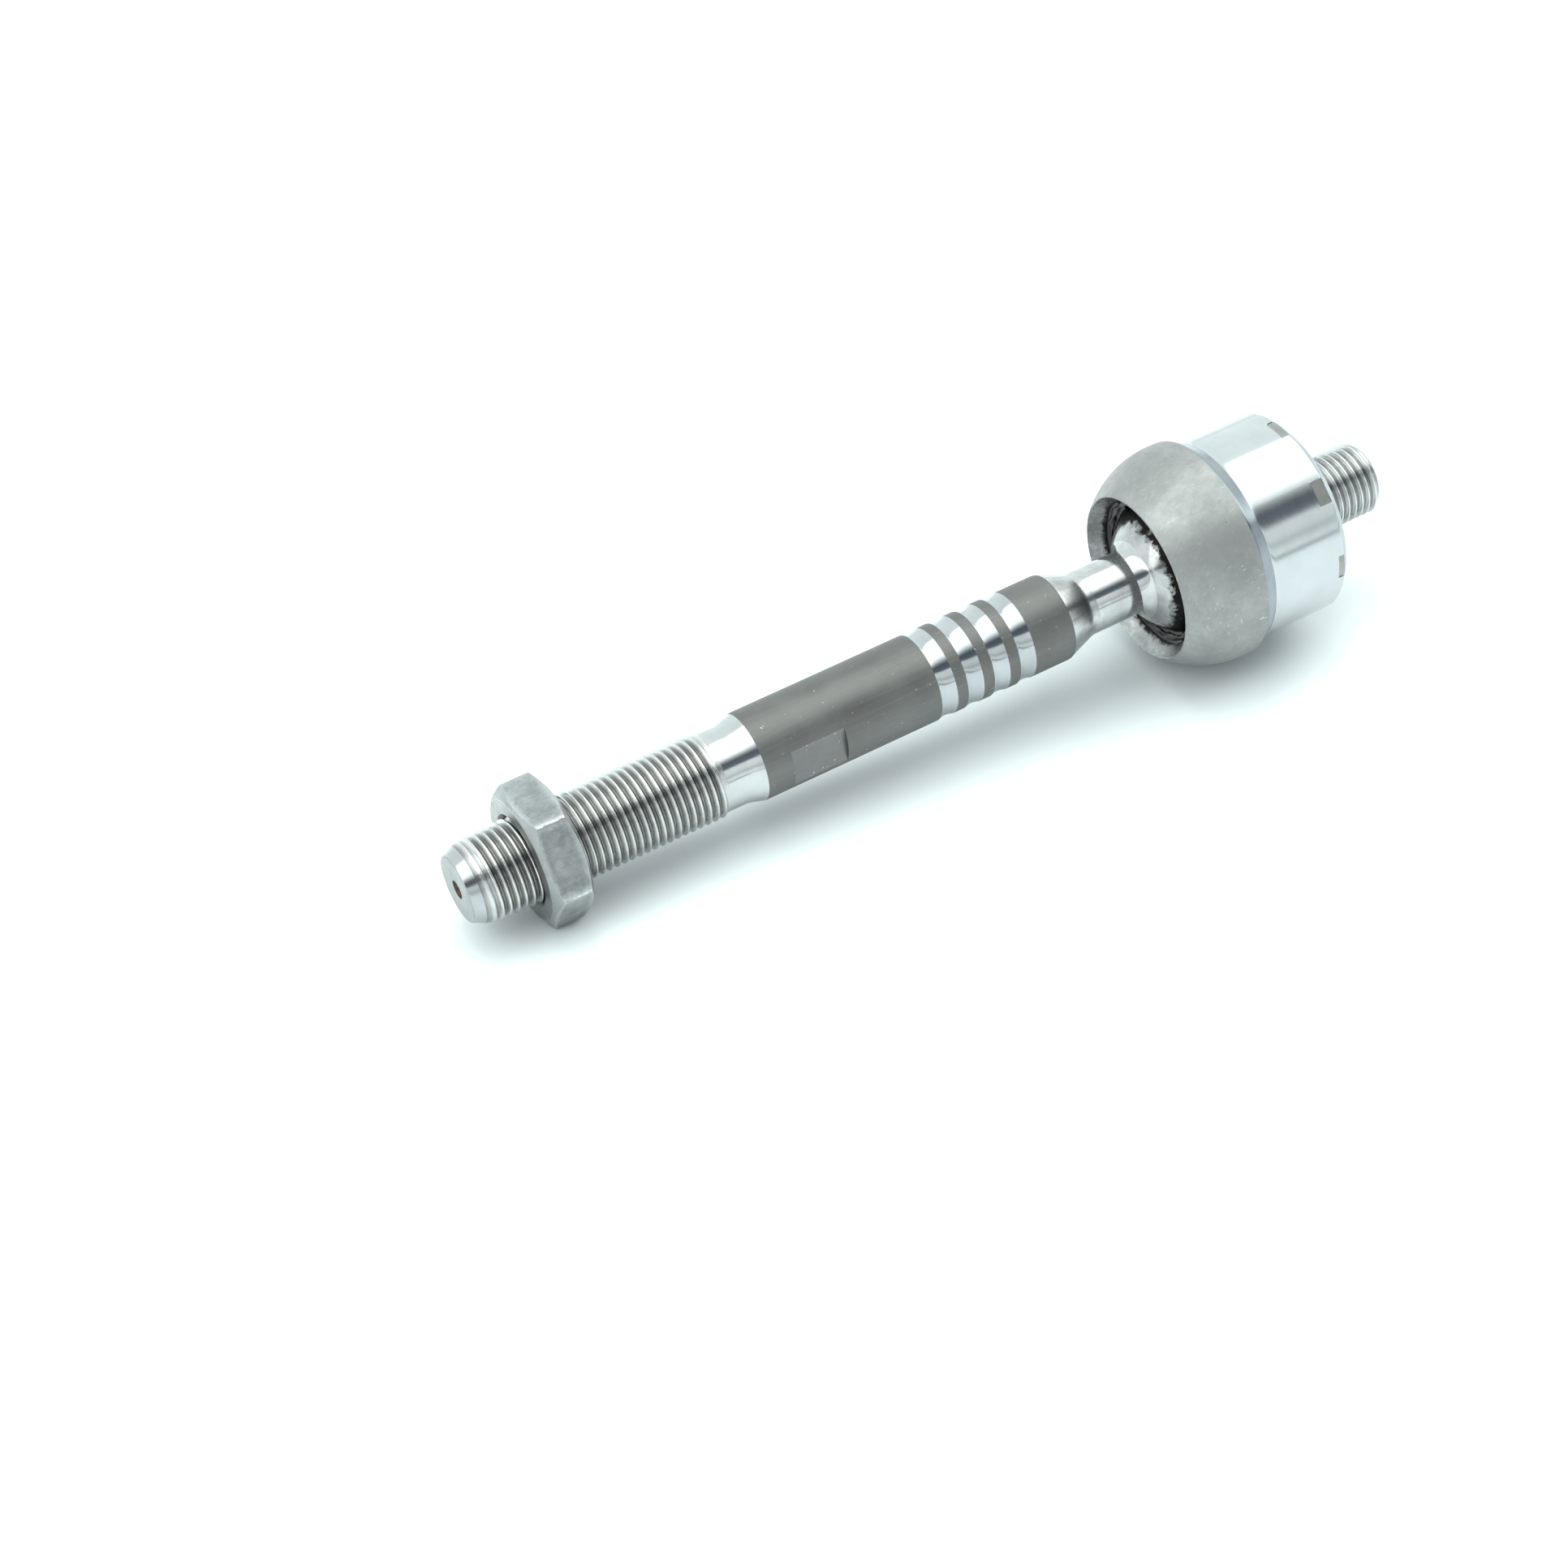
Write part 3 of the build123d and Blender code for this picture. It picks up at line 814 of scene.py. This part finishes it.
def flare_steel():
    """Inside of the mouth: grey-brown steel wiped with black grease, blackest by the shell."""
    look = Look("mouth_flare")
    radius = look.from_axis()
    inward = look.span(radius, 14.1 * MM, 15.1 * MM, 0.16, -0.22)
    broad = look.noise((0.30, 0.30, 0.30), 5, 0.6, 8.0, 0.6)
    fine = look.noise((1.4, 1.4, 1.4), 6, 0.72, 9.0, 0.4)
    smear = look.weigh(broad, 0.55, fine, 0.45)
    haze = look.noise((0.9, 0.9, 0.9), 5, 0.6, 3.0)
    mask = look.span(look.math("ADD", smear, inward), 0.50, 0.66)
    tint = look.mix(look.span(haze, 0.35, 0.7), (0.35, 0.355, 0.35), (0.25, 0.25, 0.24))
    tint = look.mix(mask, tint, (0.02, 0.018, 0.017))
    rough = look.span(haze, 0.3, 0.7, 0.22, 0.36)
    rough = look.math("MAXIMUM", rough, look.math("MULTIPLY", mask, 0.46))
    look.bump(smear, 0.02)
    look.bump(haze, 0.006)
    return look.finish(tint, rough)


def grease_look(name, colour, seed):
    """Wet, lumpy grease."""
    look = Look(name, metallic=0.0)
    lumps = look.noise((1.1, 1.1, 1.1), 5, 0.6, seed)
    grit = look.noise((5.0, 5.0, 5.0), 4, 0.65, seed + 2)
    tint = look.mix(look.span(lumps, 0.35, 0.7), colour, tuple(c * 0.45 for c in colour))
    rough = look.span(grit, 0.35, 0.7, 0.22, 0.5)
    look.bump(lumps, 0.12)
    look.bump(grit, 0.02)
    return look.finish(tint, rough)


def plastic_look():
    """Black moulded plastic with a fine grain."""
    look = Look("shell_plastic", metallic=0.0)
    grain = look.noise((7.0, 7.0, 7.0), 4, 0.65, 1.0)
    clouds = look.noise((0.4, 0.4, 0.4), 4, 0.55, 2.0)
    tint = look.mix(look.span(clouds, 0.35, 0.7), (0.055, 0.052, 0.05), (0.025, 0.024, 0.023))
    rough = look.span(grain, 0.3, 0.7, 0.32, 0.48)
    look.bump(grain, 0.01)
    return look.finish(tint, rough)


def floor_look():
    """Pale matt table top, very slightly uneven in colour."""
    look = Look("pale_floor", metallic=0.0)
    cloud = look.noise((0.012, 0.012, 0.012), 3, 0.5, 5.0)
    tint = look.mix(look.span(cloud, 0.3, 0.7), (0.665, 0.69, 0.697), (0.658, 0.684, 0.691))
    rough = look.span(cloud, 0.3, 0.7, 0.55, 0.6)
    return look.finish(tint, rough)


# ---------------------------------------------------------------- the object
# A piece's materials follow the order of its numbered names.

housing = build_housing()
for finish in (
    # The stud thread's second colour is the painted shade in its roots.
    thread_steel("stud_thread", STUD_RADIUS, (0.64, 0.645, 0.635), (0.25, 0.245, 0.23), 21.0),
    turned_steel("stud_face", (0.60, 0.60, 0.60), (0.42, 0.42, 0.42), 0.25, 0.38, 0.002, 31.0),
    turned_steel("shoulder_face", (0.42, 0.445, 0.46), (0.34, 0.36, 0.375), 0.16, 0.30, 0.002, 37.0),
    turned_steel("turned_cylinder", (0.585, 0.60, 0.60), (0.52, 0.54, 0.545), 0.09, 0.20, 0.0012, 41.0),
    turned_steel("turned_collar", (0.31, 0.335, 0.355), (0.24, 0.262, 0.28), 0.14, 0.24, 0.0012, 43.0),
    satin_steel("forged_bulb", (0.39, 0.392, 0.382), (0.30, 0.30, 0.29), (0.18, 0.175, 0.165),
                0.42, 0.56, 5.0, 0.010, 47.0),
    flare_steel(),
    polished_steel("bore_wall", (0.35, 0.34, 0.33), (0.2, 0.19, 0.18), 0.3, 0.5, 53.0),
    satin_steel("forged_pads", (0.45, 0.44, 0.42), (0.27, 0.26, 0.24), (0.06, 0.055, 0.05),
                0.34, 0.50, 4.0, 0.02, 59.0),
):
    housing.data.materials.append(finish)
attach(housing, "housing")
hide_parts("socket_housing")

rod = build_rod()
for finish in (
    polished_steel("ball_polish", (0.50, 0.50, 0.495), (0.30, 0.30, 0.295),
                   0.08, 0.20, 61.0, ball_dirt),
    polished_steel("neck_polish", (0.57, 0.57, 0.565), (0.43, 0.43, 0.425), 0.07, 0.16, 67.0),
    dark_bar("bar_skin", 71.0),
    turned_steel("groove_steel", (0.50, 0.515, 0.52), (0.42, 0.435, 0.445), 0.06, 0.14, 0.0008, 73.0),
    turned_steel("relief_steel", (0.62, 0.63, 0.625), (0.50, 0.51, 0.51), 0.07, 0.16, 0.001, 79.0),
    # The rod thread's second colour is the painted shade in its roots.
    thread_steel("rolled_thread", THREAD_RADIUS, (0.62, 0.62, 0.61), (0.22, 0.21, 0.195), 83.0),
    turned_steel("tip_bevel", (0.50, 0.51, 0.515), (0.41, 0.42, 0.425), 0.10, 0.20, 0.001, 89.0),
    satin_steel("tip_face", (0.39, 0.395, 0.395), (0.31, 0.315, 0.315), (0.2, 0.195, 0.19),
                0.32, 0.44, 6.0, 0.006, 97.0),
    satin_steel("centre_hole", (0.12, 0.09, 0.07), (0.05, 0.035, 0.03), (0.02, 0.015, 0.01),
                0.4, 0.55, 5.0, 0.01, 101.0),
    dark_bar("pressed_flat", 103.0, 0.035),
    taper_steel(),
):
    rod.data.materials.append(finish)
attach(rod, "rod")
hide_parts("ball_stud_rod")

nut = build_nut()
for finish in (
    nut_flat_steel(),
    satin_steel("nut_faces", (0.40, 0.405, 0.40), (0.29, 0.292, 0.285), (0.14, 0.135, 0.13),
                0.26, 0.40, 4.5, 0.010, 109.0),
    satin_steel("nut_bore", (0.2, 0.18, 0.16), (0.08, 0.07, 0.06), (0.03, 0.025, 0.02),
                0.35, 0.5, 4.0, 0.012, 113.0),
    worn_edge_steel(),
):
    nut.data.materials.append(finish)
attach(nut, "nut")
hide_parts("lock_nut")

bead = build_grease_ring()
bead.data.materials.append(grease_look("black_grease", (0.03, 0.027, 0.024), 127.0))
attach(bead, "housing")


def dress(node, finish):
    """Gives a CAD node its material."""
    mesh = frame["nodes"][node].data
    if not mesh.materials:
        mesh.materials.append(finish)
    for index in range(len(mesh.materials)):
        mesh.materials[index] = finish


dress("ball_seat", plastic_look())
spring_steel = turned_steel(
    "spring_steel", (0.46, 0.475, 0.475), (0.4, 0.4, 0.4), 0.2, 0.35, 0.002, 131.0
)
dress("preload_disc_spring", spring_steel)
AMBER = (0.22, 0.14, 0.05)
dress("grease_charge_inner", grease_look("grease_inner", AMBER, 137.0))
dress("grease_charge_outer", grease_look("grease_outer", AMBER, 139.0))

# ---------------------------------------------------------------- floor
# The object lies on the bulb and on the front end of the nut's lowest flat, so its axis slopes.

FLOOR_HALF = 2500
FLOOR_GAP = 0.05
CONTACT_INSET = 0.35

nut_contact = Vector((nut_high.x - CONTACT_INSET, 0, nut_low.z))
bulb_centre = Vector((CROWN_X, 0, -BULB_BASE))
reach = nut_contact - bulb_centre
tilt = math.atan2(reach.z, reach.x) + math.asin(BULB_ARC / reach.length)
up = Vector((-math.sin(tilt), 0, math.cos(tilt)))
along = Vector((math.cos(tilt), 0, math.sin(tilt)))
side = Vector((0, 1, 0))
floor_point = nut_contact - up * FLOOR_GAP
corners = [
    floor_point + (along * x_sign + side * y_sign) * FLOOR_HALF
    for x_sign, y_sign in ((-1, -1), (1, -1), (1, 1), (-1, 1))
]
floor_mesh = bpy.data.meshes.new("floor")
floor_mesh.from_pydata([corner * MM for corner in corners], [], [(0, 1, 2, 3)])
floor = bpy.data.objects.new("floor", floor_mesh)
bpy.context.scene.collection.objects.link(floor)
floor_mesh.materials.append(floor_look())

# ---------------------------------------------------------------- light

WORLD_STRENGTH = 2.6
LIGHT_TARGET = Vector((0.08, 0, 0))

# Radiance by the angle about the X axis, in degrees from +Y towards +Z, the same all along X.
LIGHT_BANDS = (
    (-180, (1, 1.12, 1.14)),
    (-6, (1, 1.12, 1.14)),
    (-3, (0.52, 0.6, 0.64)),
    (0.5, (0.52, 0.6, 0.64)),
    (3, (1.16, 1.26, 1.26)),
    (8, (1.04, 1.12, 1.13)),
    (14, (0.68, 0.77, 0.8)),
    (20, (1, 1.08, 1.1)),
    (33, (1.08, 1.18, 1.2)),
    (37, (0.18, 0.22, 0.25)),
    (51, (0.124, 0.16, 0.188)),
    (57, (0.48, 0.52, 0.54)),
    (63, (1.16, 1.26, 1.27)),
    (69, (1.9, 2.06, 2.06)),
    (76, (2.3, 2.5, 2.5)),
    (118, (2.3, 2.5, 2.5)),
    (123, (1.2, 1.32, 1.34)),
    (160, (1.24, 1.38, 1.4)),
    (180, (1.28, 1.42, 1.44)),
)


def light_bands(tree):
    """Colour of the surroundings, read from LIGHT_BANDS by direction."""
    place = tree.nodes.new("ShaderNodeTexCoord").outputs["Generated"]
    split = tree.nodes.new("ShaderNodeSeparateXYZ")
    tree.links.new(place, split.inputs["Vector"])
    turn = tree.nodes.new("ShaderNodeMath")
    turn.operation = "ARCTAN2"
    tree.links.new(split.outputs["Z"], turn.inputs[0])
    tree.links.new(split.outputs["Y"], turn.inputs[1])
    share = tree.nodes.new("ShaderNodeMapRange")
    share.inputs["From Min"].default_value = -math.pi
    share.inputs["From Max"].default_value = math.pi
    tree.links.new(turn.outputs["Value"], share.inputs["Value"])
    ramp = tree.nodes.new("ShaderNodeValToRGB")
    elements = ramp.color_ramp.elements
    while len(elements) < len(LIGHT_BANDS):
        elements.new(0.5)
    for element, (angle, colour) in zip(elements, LIGHT_BANDS):
        element.position = (angle + 180) / 360
        element.color = (*[value / WORLD_STRENGTH for value in colour], 1)
    tree.links.new(share.outputs["Result"], ramp.inputs["Fac"])
    return ramp.outputs["Color"]


def studio():
    """Bright surroundings in long bands along the object: a light wall in front, a dark gap
    above it, a large light overhead and a paler wall behind. Rays that leave the camera and
    meet nothing see a plain pale backdrop instead."""
    world = bpy.data.worlds.new("studio")
    bpy.context.scene.world = world
    world.use_nodes = True
    tree = world.node_tree
    background = tree.nodes["Background"]
    tree.links.new(light_bands(tree), background.inputs["Color"])
    background.inputs["Strength"].default_value = WORLD_STRENGTH
    backdrop = tree.nodes.new("ShaderNodeBackground")
    backdrop.inputs["Color"].default_value = (0.98, 1.0, 1.0, 1)
    choice = tree.nodes.new("ShaderNodeMixShader")
    seen = tree.nodes.new("ShaderNodeLightPath").outputs["Is Camera Ray"]
    tree.links.new(seen, choice.inputs["Fac"])
    tree.links.new(background.outputs["Background"], choice.inputs[1])
    tree.links.new(backdrop.outputs["Background"], choice.inputs[2])
    tree.links.new(choice.outputs["Shader"], tree.nodes["World Output"].inputs["Surface"])


def softbox(name, direction, distance, width, height, radiance):
    """Large soft light that faces the object; the polished metal doesn't mirror it.
    Distance, width and height are metres."""
    away = Vector(direction).normalized()
    data = bpy.data.lights.new(name, "AREA")
    data.shape = "RECTANGLE"
    data.size = width
    data.size_y = height
    data.energy = radiance * math.pi * width * height
    data.color = (0.92, 1.0, 1.0)
    light = bpy.data.objects.new(name, data)
    light.location = LIGHT_TARGET + away * distance
    light.rotation_mode = "QUATERNION"
    light.rotation_quaternion = away.to_track_quat("Z", "X")
    light.visible_glossy = False
    bpy.context.scene.collection.objects.link(light)


studio()
softbox("overhead_light", (0, -0.176, 1), 0.9, 0.42, 0.30, 4.2)
softbox("tip_end_light", (1, 0, 0.75), 1.0, 0.8, 0.8, 2.3)
softbox("stud_end_light", (-1, 0, 0.75), 1.0, 0.8, 0.8, 2.3)
bpy.context.scene.view_settings.view_transform = "Standard"

# ---------------------------------------------------------------- camera

HEADING = math.radians(64.9)  # from +X towards +Y
ELEVATION = math.radians(42.4)
ROLL = math.radians(-7.34)
AIM = Vector((110.6, 2.55, -7.45))
CAMERA_DISTANCE = 630

camera_data = bpy.data.cameras.new("camera")
camera_data.sensor_width = 36.0
camera_data.lens = 82.0
camera_data.clip_start = 0.01
camera_data.clip_end = 20.0
camera = bpy.data.objects.new("camera", camera_data)
bpy.context.scene.collection.objects.link(camera)
bpy.context.scene.camera = camera
back = Vector(
    (
        math.cos(ELEVATION) * math.cos(HEADING),
        math.cos(ELEVATION) * math.sin(HEADING),
        math.sin(ELEVATION),
    )
)
level = back.to_track_quat("Z", "Y")
camera.location = (AIM + back * CAMERA_DISTANCE) * MM
camera.rotation_mode = "QUATERNION"
camera.rotation_quaternion = level @ Matrix.Rotation(ROLL, 3, "Z").to_quaternion()
